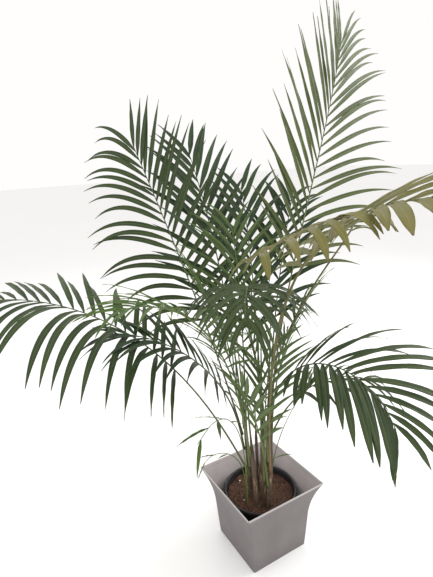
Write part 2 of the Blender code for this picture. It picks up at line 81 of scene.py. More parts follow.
# A side of a frond: leaflet length, opening from the midrib at the lowest and the last pair, lift out
# of the frond's plane at the lowest and the last pair, and how far the leaflets droop.
# Frond: cane, height on it, heading, rise and dip of the midrib in degrees, bend exponent, swing,
# length, bare share, pairs, leaflet width, roll and twist of the blade, (left side), (right side), seed.
FRONDS = {
    "frond_tall": ("cane_e", 0.50, -15, 89, 56, 0.78, 50, 1.32, 0.38, 23, 0.017, -72, 0,
                   (0.33, 48, 20, 2, 3, 0.22), (0.40, 66, 14, -4, 4, 0.50), 1),
    "frond_upright_left": ("cane_a", 0.45, 130, 77, 63, 0.85, -20, 1.05, 0.40, 19, 0.019, 66, 0,
                           (0.31, 68, 20, 4, 2, 1.00), (0.30, 64, 22, 0, 2, 0.28), 2),
    "frond_long_left": ("cane_b", 0.33, 142, 66, 0, 1.70, 16, 1.08, 0.42, 18, 0.021, 4, -8,
                        (0.33, 86, 42, 8, 4, 1.70), (0.22, 68, 46, 30, 12, 0.50), 36),
    "frond_low_right": ("cane_c", 0.46, -82, 80, -62, 1.75, -4, 0.73, 0.45, 15, 0.021, -12, 6,
                        (0.28, 72, 36, 14, 0, 0.75), (0.23, 50, 22, 8, -12, 1.00), 4),
    "frond_olive_thin": ("cane_e", 0.44, -49, 95, -14, 1.00, -123, 1.48, 0.64, 11, 0.014, -20, 0,
                         (0.10, 66, 55, 4, 4, 1.60), (0.08, 66, 55, 4, 4, 1.60), 17),
    "frond_olive": ("cane_d", 0.36, -130, 72, 3, 2.55, 35, 1.28, 0.68, 10, 0.022, -18, 0,
                    (0.16, 46, 24, 12, 4, 0.30), (0.14, 58, 24, 8, 4, 0.70), 5),
    "frond_front": ("cane_c", 0.50, -136, 87, -36, 2.30, 10, 0.86, 0.54, 15, 0.016, 0, 0,
                    (0.20, 76, 30, 6, 0, 1.60), (0.20, 76, 30, 6, 0, 1.60), 7),
    "frond_young_left": ("cane_b", 0.42, 206, 78, 0, 2.30, -12, 0.86, 0.44, 18, 0.012, 0, 0,
                         (0.20, 58, 24, 18, 8, 0.70), (0.20, 58, 24, 18, 8, 0.70), 6),
    "frond_mid_left": ("cane_a", 0.40, 184, 82, 2, 1.50, -40, 0.68, 0.36, 14, 0.019, 0, 0,
                       (0.24, 70, 28, 10, 4, 0.90), (0.22, 64, 28, 16, 8, 0.60), 8),
    "frond_back_left": ("cane_a", 0.47, 84, 82, 62, 1.20, 10, 0.98, 0.38, 14, 0.024, 6, 0,
                        (0.28, 54, 24, 4, 2, 0.30), (0.28, 50, 24, 4, 2, 0.35), 9),
    "frond_back": ("cane_c", 0.52, 62, 84, 58, 1.30, 8, 0.80, 0.36, 11, 0.021, 0, 0,
                   (0.24, 48, 24, 4, 2, 0.35), (0.26, 44, 24, 4, 2, 0.55), 10),
    "frond_back_right": ("cane_e", 0.53, 30, 84, 48, 1.30, 6, 0.76, 0.38, 10, 0.018, -14, 0,
                         (0.25, 50, 26, 6, 2, 0.45), (0.23, 52, 26, 6, 2, 0.65), 11),
    "frond_small_right": ("cane_c", 0.41, -24, 72, -36, 1.60, -12, 0.52, 0.42, 8, 0.015, 0, 0,
                          (0.19, 70, 30, 4, 0, 0.90), (0.19, 70, 30, 4, 0, 0.90), 12),
    "frond_inner": ("cane_d", 0.40, 176, 88, 74, 1.30, 12, 0.60, 0.40, 10, 0.012, 20, 0,
                    (0.22, 38, 18, 6, 4, 0.20), (0.22, 38, 18, 6, 4, 0.20), 14),
    "frond_inner_small": ("cane_d", 0.30, -160, 84, 62, 1.30, -10, 0.46, 0.42, 7, 0.019, 0, 0,
                          (0.19, 40, 20, 6, 4, 0.35), (0.19, 40, 20, 6, 4, 0.35), 16),
    "frond_inner_left": ("cane_b", 0.37, 150, 87, 64, 1.40, 20, 0.72, 0.40, 12, 0.013, 14, 0,
                         (0.22, 42, 20, 6, 4, 0.50), (0.22, 42, 20, 6, 4, 0.50), 21),
    "frond_inner_right": ("cane_e", 0.38, -62, 88, 60, 1.50, -10, 0.62, 0.40, 11, 0.014, -10, 0,
                          (0.20, 44, 22, 6, 4, 0.50), (0.20, 44, 22, 6, 4, 0.50), 22),
    "frond_inner_front": ("cane_f", 0.32, -110, 88, 70, 1.40, 10, 0.56, 0.38, 10, 0.013, 30, 0,
                          (0.19, 42, 20, 6, 4, 0.40), (0.19, 42, 20, 6, 4, 0.40), 23),
    "frond_inner_high": ("cane_a", 0.43, 240, 88, 62, 1.50, -14, 0.80, 0.42, 12, 0.013, 0, 0,
                         (0.22, 44, 22, 6, 4, 0.60), (0.22, 44, 22, 6, 4, 0.60), 30),
}
MIDRIB_STEPS = 36
PETIOLE_R = 0.0036
TIP_R = 0.0011
PETIOLE_POINTS = 13

# Leaflet outline: (place along it, share of its full width).
LONG_BLADE = ((0.0, 0.24), (0.30, 0.95), (0.68, 0.80), (1.0, 0.10))
SHORT_BLADE = ((0.0, 0.22), (0.42, 1.00), (1.0, 0.12))
LONG_FROM = 0.28
KEEL = 0.0012
CLEAR = 0.0010
# Ways a leaflet turns aside (degrees in the frond's plane, degrees out of it) to pass its neighbours.
TURNS = ((0, 0), (7, 0), (-7, 0), (0, 10), (0, -10), (14, 0), (-14, 0), (0, 20), (0, -20),
         (10, 14), (-10, 14), (10, -14), (-10, -14), (20, 20), (-20, -20), (0, 32), (0, -32))
SHORTER = (1.0, 0.78, 0.58, 0.40)

# Small leaves from the clump's foot: foot x, y, heading, rise, dip, bend exponent, length, where the
# first blade leaves, blade length, blade width, blades, spread.
BASAL = {
    "forked_leaf": (0.010, -0.054, -12, 94, 52, 1.1, 0.42, 0.90, 0.15, 0.026, 2, 9),
    "small_leaf_left": (-0.080, -0.036, 213, 90, -21, 2.2, 0.66, 0.66, 0.11, 0.011, 5, 30),
    "small_leaf_front": (-0.066, -0.004, 170, 91, -60, 2.6, 0.34, 0.70, 0.06, 0.006, 3, 24),
    "small_leaf_back": (0.040, 0.030, -10, 86, 10, 2.0, 0.13, 0.62, 0.06, 0.007, 2, 22),
}

# ---------------------------------------------------------------- look of each frond
# Leaf colours are linear: (upper side, shade along its length, midrib).
DEEP = ((0.021, 0.040, 0.011), (0.040, 0.064, 0.016), (0.084, 0.108, 0.032))
# A darker copy of the green for the back and middle fronds, where the others shade them: painted shade.
SHADED_GREEN = ((0.013, 0.032, 0.011), (0.026, 0.053, 0.014), (0.060, 0.092, 0.028))
# A lighter copy of the green for the tall top frond, where light falls full on it: painted light.
LIT_GREEN = ((0.045, 0.066, 0.014), (0.072, 0.096, 0.022), (0.116, 0.136, 0.044))
FRESH = ((0.038, 0.084, 0.008), (0.076, 0.132, 0.016), (0.128, 0.172, 0.040))
OLIVE = ((0.124, 0.120, 0.027), (0.172, 0.152, 0.040), (0.200, 0.172, 0.052))
TONES = {
    # The tall frond takes the lighter green, which is painted light.
    "frond_tall": LIT_GREEN, "frond_upright_left": DEEP, "frond_long_left": DEEP,
    "frond_low_right": DEEP, "frond_olive": OLIVE, "frond_olive_thin": OLIVE,
    # The middle and back fronds take the darker green, which is painted shade.
    "frond_front": DEEP, "frond_young_left": FRESH, "frond_mid_left": SHADED_GREEN,
    "frond_back_left": SHADED_GREEN, "frond_back": SHADED_GREEN, "frond_back_right": SHADED_GREEN,
    "frond_small_right": DEEP, "frond_inner": FRESH, "frond_inner_small": FRESH,
    "frond_inner_left": FRESH, "frond_inner_right": FRESH, "frond_inner_front": FRESH, "frond_inner_high": FRESH,
}
# How square the leaflet tips are: 0 ends in a long point, 1 in a short round end.
BLUNT = {"frond_low_right": 0.75, "frond_long_left": 0.45, "frond_olive": 0.6, "frond_olive_thin": 0.6}


# ---------------------------------------------------------------- shared geometry
def tidy(mesh):
    """Joins the doubled points of a closed mesh and splits its bent quads, so that the overlap tests read it."""
    made = bmesh.new()
    made.from_mesh(mesh)
    bmesh.ops.remove_doubles(made, verts=made.verts, dist=1e-5)
    bmesh.ops.triangulate(made, faces=made.faces)
    bmesh.ops.recalc_face_normals(made, faces=made.faces)
    made.to_mesh(mesh)
    made.free()


def rod(name, points, radii, sides=2):
    """A tapering rod along the points, closed at both ends."""
    curve = bpy.data.curves.new(name, "CURVE")
    curve.dimensions = "3D"
    curve.bevel_depth = 1.0
    curve.bevel_resolution = sides
    curve.use_fill_caps = True
    spline = curve.splines.new("POLY")
    spline.points.add(len(points) - 1)
    for point, at, radius in zip(spline.points, points, radii):
        point.co = (*map(float, at), 1.0)
        point.radius = float(radius)
    holder = bpy.data.objects.new(name, curve)
    bpy.context.scene.collection.objects.link(holder)
    mesh = bpy.data.meshes.new_from_object(holder)
    bpy.data.objects.remove(holder, do_unlink=True)
    bpy.data.curves.remove(curve)
    tidy(mesh)
    return mesh


def tree_of(points, faces):
    return BVHTree.FromPolygons([tuple(map(float, p)) for p in points], faces)


def tree_of_mesh(mesh):
    return tree_of([v.co for v in mesh.vertices], [tuple(f.vertices) for f in mesh.polygons])


# ---------------------------------------------------------------- canes
def cane_line(name):
    """Axis points and radii from inside the soil up to the spear's tip."""
    x, y, heading, lean, girth, stem_top, tip = CANES[name]
    foot_z = SOIL_TOP_Z - SOCKET_DEEP
    heights = [foot_z, 0.225, 0.262, 0.30, 0.36, 0.42, stem_top, stem_top + 0.05]
    shares = [1.12, 1.06, 0.96, 0.90, 0.86, 0.80, 0.66, 0.40]
    heights += [stem_top + (tip - stem_top) * 0.55, tip]
    shares += [0.30, 0.08]
    rows = sorted(zip(heights, shares), key=lambda row: row[0])
    away = np.array([math.cos(math.radians(heading)), math.sin(math.radians(heading))])
    points, radii = [], []
    for z, share in rows:
        up = z - SOIL_TOP_Z
        shift = math.tan(math.radians(lean)) * up * (1 + 0.25 * up)
        points.append(np.array([x + away[0] * shift, y + away[1] * shift, z]))
        radii.append(girth * share)
    return points, radii


def on_cane(name, z):
    points, radii = cane_line(name)
    heights = [p[2] for p in points]
    at = np.array([np.interp(z, heights, [p[k] for p in points]) for k in range(3)])
    return at, float(np.interp(z, heights, radii))


# ---------------------------------------------------------------- fronds
def heading_vector(heading, rise):
    heading, rise = np.radians(heading), np.radians(rise)
    flat = np.cos(rise)
    return np.stack([flat * np.cos(heading), flat * np.sin(heading), np.sin(rise)], -1)


def midrib(base, heading, rise, dip, bend, swing, length):
    """Points, tangents, sideways and upward directions along a frond's midrib."""
    middle = (np.arange(MIDRIB_STEPS) + 0.5) / MIDRIB_STEPS
    steps = heading_vector(heading + swing * middle, rise + (dip - rise) * middle**bend)
    points = np.vstack([np.zeros(3), np.cumsum(steps * length / MIDRIB_STEPS, 0)]) + base
    place = np.arange(MIDRIB_STEPS + 1) / MIDRIB_STEPS
    along = heading_vector(heading + swing * place, rise + (dip - rise) * place**bend)
    turn = np.radians(heading + swing * place)
    right = np.stack([np.sin(turn), -np.cos(turn), 0 * turn], -1)
    return place, points, along, right


def pick(place, rows, s):
    return np.array([np.interp(s, place, rows[:, k]) for k in range(3)])


def unit(v):
    return v / np.linalg.norm(v)


def size_along(t):
    """Leaflet length from the lowest pair to the tip, as a share of the longest."""
    if t < 0.5:
        return 0.62 + 0.38 * min(1.0, t / 0.3) ** 0.8
    return 1.0 - 0.5 * ((t - 0.5) / 0.5) ** 1.7


def leaflet_line(root, along, side_dir, normal, opening, droop, length, stations):
    """Points, flat directions of a leaflet that leaves the midrib and droops towards its tip."""
    start = math.cos(opening) * along + math.sin(opening) * side_dir
    middle = (np.arange(stations) + 0.5) / stations
    steps = start[None, :] + droop * (middle[:, None] ** 1.6) * np.array([0.0, 0.0, -1.0])
    steps /= np.linalg.norm(steps, axis=1)[:, None]
    points = np.vstack([root, root + np.cumsum(steps * length / stations, 0)])
    tangents = np.vstack([steps[0], (steps[:-1] + steps[1:]) / 2, steps[-1]])
    across = np.cross(tangents, normal)
    across /= np.linalg.norm(across, axis=1)[:, None]
    return points, across, np.cross(across, tangents)


def blade(points, across, normals, outline, width, grow=0.0):
    """A leaflet as a closed keeled strip: two edges and a keel at each station."""
    places = np.linspace(0.0, 1.0, len(points))
    rows, faces = [], []
    for place, share in outline:
        at, side, up = (pick(places, rows_, place) for rows_ in (points, across, normals))
        half = width * share / 2 + grow
        deep = KEEL * (0.55 + 0.45 * share) + grow
        rows += [at + side * half + up * deep * 0.35, at - side * half + up * deep * 0.35]
        rows += [at - up * deep * 0.75]
    for i in range(len(outline) - 1):
        a, b = 3 * i, 3 * i + 3
        for j in range(3):
            k = (j + 1) % 3
            faces.append((a + j, b + j, b + k, a + k))
    last = 3 * (len(outline) - 1)
    faces += [(0, 1, 2), (last + 2, last + 1, last)]
    return rows, faces


def frond_base(row):
    cane, z, heading = row[:3]
    at, radius = on_cane(cane, z)
    out = radius + PETIOLE_R * 1.3 + GAP
    return at + out * heading_vector(heading, 0.0)


def frond_midrib(row):
    heading, rise, dip, bend, swing, length = row[2:8]
    return midrib(frond_base(row), heading, rise, dip, bend, swing, length)


def stem_line(row):
    """The few points that the rod of a petiole and midrib passes through."""
    place, points, along, sideways = frond_midrib(row)
    joints = np.linspace(0.0, 1.0, PETIOLE_POINTS) ** 0.9
    return joints, np.array([pick(place, points, s) for s in joints])


def petiole_radii(places):
    """The petiole narrows quickly from its clasping base, then slowly to the midrib's tip."""
    radii = []
    for s in places:
        swell = 0.45 * math.exp(-s / 0.05)
        radii.append(TIP_R + (PETIOLE_R - TIP_R) * (1 - s) ** 0.9 + PETIOLE_R * swell * 0.6)
    return radii


def frond_leaflets(row, obstacles):
    """The leaflets of one frond that pass clear of everything already standing."""
    bare, pairs, wide, roll, twist, left, right, seed = row[8:16]
    place, points, along, sideways = frond_midrib(row)
    joints, stem = stem_line(row)
    rng = np.random.default_rng(seed)
    made = []
    for i in range(pairs):
        for side, shape in ((1, right), (-1, left)):
            leaf, open0, open1, lift0, lift1, droop = shape
            t = (i + 0.5 + 0.22 * side) / pairs
            s = min(bare + (1 - bare) * t**0.95, 0.995)
            chance = rng.uniform(-1, 1, 4)
            root = pick(joints, stem, s)
            ahead = unit(pick(place, along, s))
            flat = unit(pick(place, sideways, s))
            up = np.cross(flat, ahead)
            turn = math.radians(roll + twist * t)
            across = math.cos(turn) * flat + math.sin(turn) * up
            face = math.cos(turn) * up - math.sin(turn) * flat
            length = leaf * size_along(t) * (1 + 0.08 * chance[2])
            width = wide * (0.75 + 0.25 * size_along(t))
            outline = LONG_BLADE if length > LONG_FROM else SHORT_BLADE
            found = None
            for short in SHORTER:
                for swing, tip_up in TURNS:
                    opening = math.radians(open0 + (open1 - open0) * t + 4.5 * chance[0] + swing)
                    lift = math.radians(lift0 + (lift1 - lift0) * t + 6 * chance[1] + tip_up)
                    side_dir = side * math.cos(lift) * across + math.sin(lift) * face
                    normal = unit(math.cos(lift) * face - side * math.sin(lift) * across)
                    line = leaflet_line(root, ahead, side_dir, normal, opening,
                                        droop * (1 + 0.25 * chance[3]), length * short, 8)
                    test = tree_of(*blade(*line, outline, width, CLEAR))
                    if not any(test.overlap(tree) for tree in obstacles):
                        found = (line, outline, width)
                        break
                if found:
                    break
            if found:
                made.append(found)
    return made


def basal_midrib(row):
    x, y, heading, rise, dip, bend, length = row[:7]
    foot = np.array([x, y, SOIL_TOP_Z - 0.010])
    return midrib(foot, heading, rise, dip, bend, 0, length)


# ---------------------------------------------------------------- shader helpers
class Wire:
    """A socket that takes part in Python expressions."""

    def __init__(self, tree, socket):
        self.tree = tree
        self.socket = socket

    def math(self, operation, *values):
        node = self.tree.nodes.new("ShaderNodeMath")
        node.operation = operation
        for slot, value in zip(node.inputs, values):
            if isinstance(value, Wire):
                self.tree.links.new(value.socket, slot)
            else:
                slot.default_value = value
        return Wire(self.tree, node.outputs[0])

    def __add__(self, other):
        return self.math("ADD", self, other)

    def __radd__(self, other):
        return self.math("ADD", other, self)

    def __sub__(self, other):
        return self.math("SUBTRACT", self, other)

    def __rsub__(self, other):
        return self.math("SUBTRACT", other, self)

    def __mul__(self, other):
        return self.math("MULTIPLY", self, other)

    def __rmul__(self, other):
        return self.math("MULTIPLY", other, self)

    def __truediv__(self, other):
        return self.math("DIVIDE", self, other)

    def __rtruediv__(self, other):
        return self.math("DIVIDE", other, self)

    def __pow__(self, other):
        return self.math("POWER", self, other)

    def __abs__(self):
        return self.math("ABSOLUTE", self)

    def above(self, low, high):
        """0 below low, 1 above high, smooth between."""
        share = self.math("MULTIPLY", self.math("SUBTRACT", self, low), 1.0 / (high - low))
        held = self.math("MINIMUM", self.math("MAXIMUM", share, 0.0), 1.0)
        return held * held * (3.0 - 2.0 * held)


class Finish:
    """A material whose Principled shader is fed by nodes."""

    def __init__(self, name):
        self.material = bpy.data.materials.new(name)
        self.material.use_nodes = True
        self.tree = self.material.node_tree
        self.shader = self.tree.nodes["Principled BSDF"]

    def node(self, kind, settings=None, values=None, output=0):
        """Adds a node, sets its settings first and then its sockets, and returns one output."""
        made = self.tree.nodes.new(kind)
        for key, value in (settings or {}).items():
            if key == "stops":
                self.stops(made.color_ramp, value)
            else:
                setattr(made, key, value)
        for key, value in (values or {}).items():
            if isinstance(value, Wire):
                self.tree.links.new(value.socket, made.inputs[key])
            else:
                made.inputs[key].default_value = value
        return Wire(self.tree, made.outputs[output])

    def stops(self, ramp, stops):
        while len(ramp.elements) < len(stops):
            ramp.elements.new(1.0)
        for element, (place, colour) in zip(ramp.elements, stops):
            element.position = place
            element.color = (*colour, 1.0)

    def mix(self, share, low, high):
        """A colour between low and high."""
        values = {0: share}
        for key, colour in ((6, low), (7, high)):
            values[key] = colour if isinstance(colour, Wire) else (*colour, 1.0)
        return self.node("ShaderNodeMix", {"data_type": "RGBA"}, values, 2)

    def noise(self, scale, detail=3.0, rough=0.55, where=None, stretch=None):
        """Noise between about 0 and 1 on the object's own coordinates."""
        place = where or self.node("ShaderNodeTexCoord", output="Object")
        if stretch:
            place = self.node("ShaderNodeMapping", None, {0: place, 3: stretch})
        values = {"Vector": place, "Scale": scale, "Detail": detail, "Roughness": rough}
        return self.node("ShaderNodeTexNoise", None, values)

    def value(self, name):
        """A number that the mesh carries for each point."""
        return self.node("ShaderNodeAttribute", {"attribute_name": name}, output="Fac")

    def bump(self, height, strength, distance):
        values = {"Strength": strength, "Distance": distance, "Height": height}
        self.feed("Normal", self.node("ShaderNodeBump", None, values))

    def feed(self, socket, value):
        if isinstance(value, Wire):
            self.tree.links.new(value.socket, self.shader.inputs[socket])
        elif isinstance(value, tuple):
            self.shader.inputs[socket].default_value = (*value, 1.0)
        else:
            self.shader.inputs[socket].default_value = value


def leaf_finish(name, tone, under):
    """Leaflet tissue: paler veins, a light midrib, uneven tone and dry brown tips."""
    upper, shade, rib = tone
    made = Finish(name)
    along = made.value("along")
    across = abs(made.value("across"))
    chance = made.value("chance")
    cloud = made.noise(9.0, 2.0)
    fine = made.noise(60.0, 3.0)
    colour = made.mix(cloud.above(0.35, 0.7) * 0.7 + chance * 0.3, upper, shade)
    colour = made.mix(along.above(0.55, 1.0) * 0.35, colour, shade)
    veins = made.node("ShaderNodeTexWave", {"wave_type": "BANDS", "bands_direction": "X"},
                      {"Vector": made.node("ShaderNodeCombineXYZ", None,
                                           {0: made.value("across"), 1: along * 0.02, 2: 0.0}),
                       "Scale": 2.2, "Distortion": 0.6, "Detail": 1.0}, 1)
    colour = made.mix(veins.above(0.62, 0.95) * 0.16, colour, shade)
    colour = made.mix((1.0 - across.above(0.05, 0.14)) * (1.0 - along.above(0.8, 1.0)) * 0.75, colour, rib)
    dry = along.above(0.955, 1.0) * (chance + fine * 0.5).above(0.75, 1.05)
    colour = made.mix(dry * 0.85, colour, (0.16, 0.10, 0.045))
    specks = fine.above(0.71, 0.78) * 0.35
    colour = made.mix(specks, colour, (0.12, 0.10, 0.040))
    if under:
        colour = made.mix(0.34, colour, (0.16, 0.20, 0.115))
    made.feed("Base Color", colour)
    made.feed("Roughness", 0.42 + fine * 0.16 + (0.12 if under else 0.0))
    made.feed("Specular IOR Level", 0.32)
    made.bump(veins * 0.6 + fine * 0.4, 0.35, 0.0006)
    return made.material


def stalk_finish(name, tone, edge, edge_share):
    """Petiole and midrib: smooth green with fine length-wise streaks and a warmer foot."""
    upper, shade, rib = tone
    made = Finish(name)
    along = made.value("along")
    streak = made.noise(70.0, 3.0, stretch=(1.0, 1.0, 0.12))
    colour = made.mix(streak.above(0.35, 0.65), shade, rib)
    colour = made.mix((1.0 - along.above(0.02, 0.30)) * edge_share, colour, edge)
    speck = made.noise(220.0, 2.0).above(0.66, 0.76)
    colour = made.mix(speck * 0.5, colour, (0.045, 0.035, 0.020))
    made.feed("Base Color", colour)
    made.feed("Roughness", 0.45 + streak * 0.2)
    made.bump(streak, 0.3, 0.0006)
    return made.material


def cane_finish(name, green):
    """Ringed cane: brown below with dry scales, olive green above."""
    made = Finish(name)
    place = made.node("ShaderNodeTexCoord", output="Object")
    height = made.node("ShaderNodeSeparateXYZ", None, {0: place}, 2)
    streak = made.noise(55.0, 4.0, 0.6, stretch=(1.0, 1.0, 0.10))
    cloud = made.noise(22.0, 3.0)
    brown = made.mix(streak.above(0.3, 0.7), (0.050, 0.030, 0.019), (0.150, 0.105, 0.066))
    leafy = made.mix(streak.above(0.3, 0.7), (0.062, 0.070, 0.022), (0.150, 0.150, 0.055))
    rise = (height + (cloud - 0.5) * 0.12).above(green - 0.05, green + 0.07)
    colour = made.mix(rise, brown, leafy)
    ring = made.value("ring")
    colour = made.mix(ring * 0.75, colour, (0.060, 0.042, 0.028))
    pale = made.noise(38.0, 3.0, 0.6, stretch=(1.0, 1.0, 0.3)).above(0.60, 0.70) * (1.0 - rise)
    colour = made.mix(pale * 0.6, colour, (0.25, 0.185, 0.115))
    made.feed("Base Color", colour)
    made.feed("Roughness", 0.55 + cloud * 0.25)
    made.bump(streak * 0.7 + cloud * 0.3, 0.5, 0.0012)
    return made.material


def planter_finish(name, settings, inside):
    """Matt moulded plastic, a little dusty, slightly darker towards the foot; the pale lip is a painted
    highlight, and the inside is a brightened copy that paints light on the inner walls.
    """
    made = Finish(name)
    place = made.node("ShaderNodeTexCoord", output="Object")
    height = made.node("ShaderNodeSeparateXYZ", None, {0: place}, 2)
    cloud = made.noise(5.0, 3.0)
    drift = made.noise(14.0, 4.0, 0.6, stretch=(1.0, 1.0, 0.35))
    grain = made.noise(900.0, 2.0)
    low, high = tuple(settings.shade), tuple(settings.colour)
    # The inside is the same plastic made 2.8 times brighter: painted light on the inner walls.
    if inside:
        low, high = tuple(v * 2.8 for v in low), tuple(v * 2.8 for v in high)
    colour = made.mix(cloud.above(0.3, 0.7) * 0.5 + drift.above(0.3, 0.7) * 0.5, low, high)
    colour = made.mix((1.0 - height.above(0.0, 0.08)) * 0.30, colour, tuple(v * 0.72 for v in low))
    marks = made.noise(30.0, 5.0, 0.7).above(0.64, 0.74)
    colour = made.mix(marks * 0.25, colour, tuple(v * 0.8 for v in low))
    if inside:
        line = height.above(0.2650, 0.2658) * (1.0 - height.above(0.2668, 0.2676))
        colour = made.mix(line * 0.45, colour, tuple(v * 0.62 for v in low))
    # The top ring takes the rim colour: a painted highlight along the lip.
    colour = made.mix(made.value("lip"), colour, tuple(settings.lip))
    made.feed("Base Color", colour)
    made.feed("Roughness", 0.52 + drift * 0.2)
    made.feed("Specular IOR Level", 0.35)
    made.bump(grain * 0.5 + cloud * 0.5, 0.12, 0.0006)
    return made.material


def pot_finish(name):
    """Thin near-black plastic with dusty scuffs and a trace of soil on its lip."""
    made = Finish(name)
    scuff = made.noise(40.0, 5.0, 0.65)
    dust = made.noise(150.0, 3.0)
    colour = made.mix(scuff.above(0.45, 0.7), (0.013, 0.012, 0.013), (0.030, 0.027, 0.027))
    colour = made.mix(dust.above(0.6, 0.75) * 0.4, colour, (0.060, 0.045, 0.035))
    made.feed("Base Color", colour)
    made.feed("Roughness", 0.38 + scuff * 0.3)
    made.bump(scuff, 0.15, 0.0008)
    return made.material


def soil_finish(name):
    """Damp coir: dark red brown crumbs with lighter fibre ends."""
    made = Finish(name)
    crumb = made.noise(170.0, 6.0, 0.7)
    patch = made.noise(28.0, 4.0, 0.6)
    fibre = made.noise(420.0, 3.0, 0.6, stretch=(1.0, 0.22, 1.0))
    colour = made.mix(crumb.above(0.32, 0.62), (0.022, 0.011, 0.007), (0.105, 0.052, 0.032))
    colour = made.mix(patch.above(0.45, 0.72) * 0.6, colour, (0.125, 0.064, 0.038))
    colour = made.mix(fibre.above(0.60, 0.74) * 0.6, colour, (0.215, 0.125, 0.072))
    made.feed("Base Color", colour)
    made.feed("Roughness", 0.86 + crumb * 0.12)
    made.feed("Specular IOR Level", 0.25)
    made.bump(crumb, 0.9, 0.003)
    return made.material


def plain_finish(name, low, high, scale, rough):
    """A two-tone uneven finish for small loose things."""
    made = Finish(name)
    cloud = made.noise(scale, 4.0, 0.6)
    made.feed("Base Color", made.mix(cloud.above(0.35, 0.65), low, high))
    made.feed("Roughness", rough + cloud * 0.1)
    made.bump(cloud, 0.4, 0.0008)
    return made.material


# ---------------------------------------------------------------- mesh helpers
def place_piece(mesh_maker, name, materials, replaced=(), smooth=True):
    """Turns a bmesh into a named piece that rides on the plant's one body."""
    mesh = bpy.data.meshes.new(name)
    mesh_maker.to_mesh(mesh)
    mesh_maker.free()
    for one in materials:
        mesh.materials.append(one)
    for face in mesh.polygons:
        face.use_smooth = smooth
    piece = bpy.data.objects.new(name, mesh)
    bpy.context.scene.collection.objects.link(piece)
    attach(piece, BODY)
    for node in replaced:
        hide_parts(node)
    return piece


def thicken(piece, thickness, other=0, rim=0):
    """Gives an open blade its thickness; the far side may take another material."""
    wall = piece.modifiers.new("thickness", "SOLIDIFY")
    wall.thickness = thickness
    wall.offset = -1.0
    wall.material_offset = other
    wall.material_offset_rim = rim
    return wall


def layers_of(made, *names):
    return [made.verts.layers.float.get(n) or made.verts.layers.float.new(n) for n in names]


def smooth_line(points, count):
    """More points on a smooth curve through the given ones."""
    points = np.asarray(points, float)
    steps = np.linalg.norm(np.diff(points, axis=0), axis=1)
    at = np.concatenate([[0.0], np.cumsum(steps)])
    at /= at[-1]
    slopes = np.gradient(points, at, axis=0)
    out = []
    for s in np.linspace(0.0, 1.0, count):
        i = min(int(np.searchsorted(at, s, side="right")) - 1, len(at) - 2)
        gap = at[i + 1] - at[i]
        u = (s - at[i]) / gap
        a, b = points[i], points[i + 1]
        out.append((2 * u**3 - 3 * u**2 + 1) * a + (u**3 - 2 * u**2 + u) * gap * slopes[i]
                   + (3 * u**2 - 2 * u**3) * b + (u**3 - u**2) * gap * slopes[i + 1])
    return np.array(out)


def add_tube(made, points, radii, sides, rings=None, chance=0.5):
    """Bends a capped cylinder, cut into as many rings as there are points, along the points."""
    along, across, luck, ring = layers_of(made, "along", "across", "chance", "ring")
    points = np.asarray(points, float)
    tangents = np.gradient(points, axis=0)
    tangents /= np.linalg.norm(tangents, axis=1)[:, None]
    frames, side = [], np.array([1.0, 0.0, 0.0])
    if abs(tangents[0][0]) > 0.9:
        side = np.array([0.0, 1.0, 0.0])
    for tangent in tangents:
        side = unit(side - tangent * side.dot(tangent))
        frames.append((side, np.cross(tangent, side)))
    others = set(made.verts)
    start = bmesh.ops.create_cone(made, cap_ends=True, segments=sides, radius1=1.0, radius2=1.0, depth=1.0)
    verts = start["verts"]
    long_edges = [e for e in {e for v in verts for e in v.link_edges}
                  if abs(e.verts[0].co.z - e.verts[1].co.z) > 0.5]
    last = len(points) - 1
    if last > 1:
        bmesh.ops.subdivide_edges(made, edges=long_edges, cuts=last - 1)
        verts = [v for v in made.verts if v not in others]
    for vert in verts:
        i = min(max(round((vert.co.z + 0.5) * last), 0), last)
        one, two = frames[i]
        off = (vert.co.x * one + vert.co.y * two) * radii[i]
        vert.co = Vector(points[i] + off)
        vert[along] = i / last
        vert[luck] = chance
        vert[ring] = rings[i] if rings is not None else 0.0


def add_blade(made, line, width_at, fold_at, wobble, chance, wide=4, long=16, curl=0.0):
    """Bends a flat grid into a folded leaflet on the given line of points, sideways and upward directions."""
    along, across, luck, ring = layers_of(made, "along", "across", "chance", "ring")
    points, sides, normals = line
    places = np.linspace(0.0, 1.0, len(points))
    smooth = smooth_line(points, long + 1)
    grid = bmesh.ops.create_grid(made, x_segments=wide, y_segments=long, size=1.0)
    for vert in grid["verts"]:
        u, v = vert.co.x, (vert.co.y + 1.0) / 2.0
        i = min(max(round(v * long), 0), long)
        side, up = unit(pick(places, sides, v)), unit(pick(places, normals, v))
        turn = wobble * v * v
        side, up = (math.cos(turn) * side + math.sin(turn) * up, math.cos(turn) * up - math.sin(turn) * side)
        half = width_at(v) / 2.0
        fold = fold_at(v)
        rise = abs(u) * half * math.sin(fold) - curl * half * u * u * v
        wave = 0.0006 * math.sin(v * 23.0 + chance * 40.0 + u * 1.7) * abs(u)
        vert.co = Vector(smooth[i] + side * (u * half * math.cos(fold)) + up * (rise + wave - 0.0004))
        vert[along] = v
        vert[across] = u
        vert[luck] = chance


def leaflet_width(width, blunt):
    """Full width along a leaflet: pinched at its root, widest at a third, long or short tip."""

    def width_at(v):
        foot = 0.20 + 0.80 * min(1.0, v / 0.26) ** 0.75
        power = 1.75 + 3.4 * blunt
        tip = 1.0 - max(0.0, (v - 0.30) / 0.70) ** power
        return width * foot * max(0.045 + 0.10 * blunt, tip)

    return width_at


